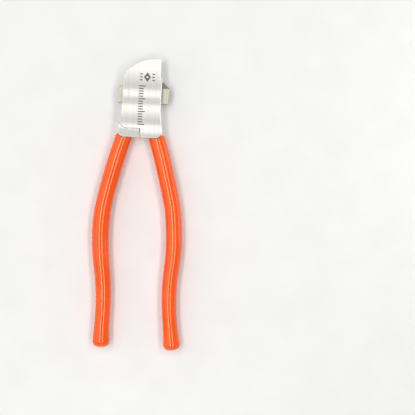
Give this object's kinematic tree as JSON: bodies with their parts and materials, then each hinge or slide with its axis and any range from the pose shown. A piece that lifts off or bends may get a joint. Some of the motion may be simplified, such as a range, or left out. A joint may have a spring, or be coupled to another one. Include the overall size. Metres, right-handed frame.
{
  "type": "key-cutting pliers",
  "caption": "Hand pliers with a wide steel head, a sliding punch bar with a V tooth for cutting notches in flat keys, and two long S-curved dipped handles.",
  "frame": {"origin": "on the head's flat back face, on the centre line between the legs, near the height of the pivot", "axes": "+X right across the head, +Y up to the nose, +Z from the back face out of the front face"},
  "size_m": [0.0764, 0.2358, 0.018],
  "materials": {
    "polished_steel": "finely brushed and polished stainless steel",
    "nickel_steel": "matte warm grey plated steel",
    "hard_steel": "ground tool steel",
    "bronze": "machined bronze",
    "black_screw": "black oxide, satin",
    "orange_vinyl": "glossy dipped vinyl"
  },
  "bodies": {
    "frame": {"right_leg": "polished_steel", "right_grip": "orange_vinyl", "back_plate": "polished_steel", "top_spacer": "nickel_steel", "die_block": "hard_steel", "pivot_pin": "hard_steel", "pivot_screw": "black_screw", "thrust_washer": "bronze", "wave_washer": "hard_steel", "stop_pin": "hard_steel", "dowel_1": "hard_steel", "dowel_2": "hard_steel", "die_screw_1": "black_screw", "die_screw_2": "black_screw", "plate_screw_1": "black_screw", "plate_screw_2": "black_screw", "plate_screw_3": "black_screw", "plate_screw_4": "black_screw", "plate_screw_5": "black_screw", "plate_screw_6": "black_screw"},
    "lever": {"left_leg": "polished_steel", "left_grip": "orange_vinyl", "pivot_bush": "bronze"},
    "slide": {"slide_bar": "nickel_steel", "punch_tip": "nickel_steel", "punch_screw": "black_screw"}
  },
  "joints": [
    {"name": "handle_pivot", "type": "hinge", "parent": "frame", "child": "lever", "pos_m": [-0.0102, -0.0013, 0.009], "axis": [0, 0, -1], "range_deg": [0, 12.8]},
    {"name": "punch_slide", "type": "slide", "parent": "frame", "child": "slide", "axis": [1, 0, 0], "range_m": [0, 0.00405]}
  ],
  "couplings": [
    {"joint": "punch_slide", "follows": "handle_pivot", "m_per_rad": 0.01796}
  ]
}
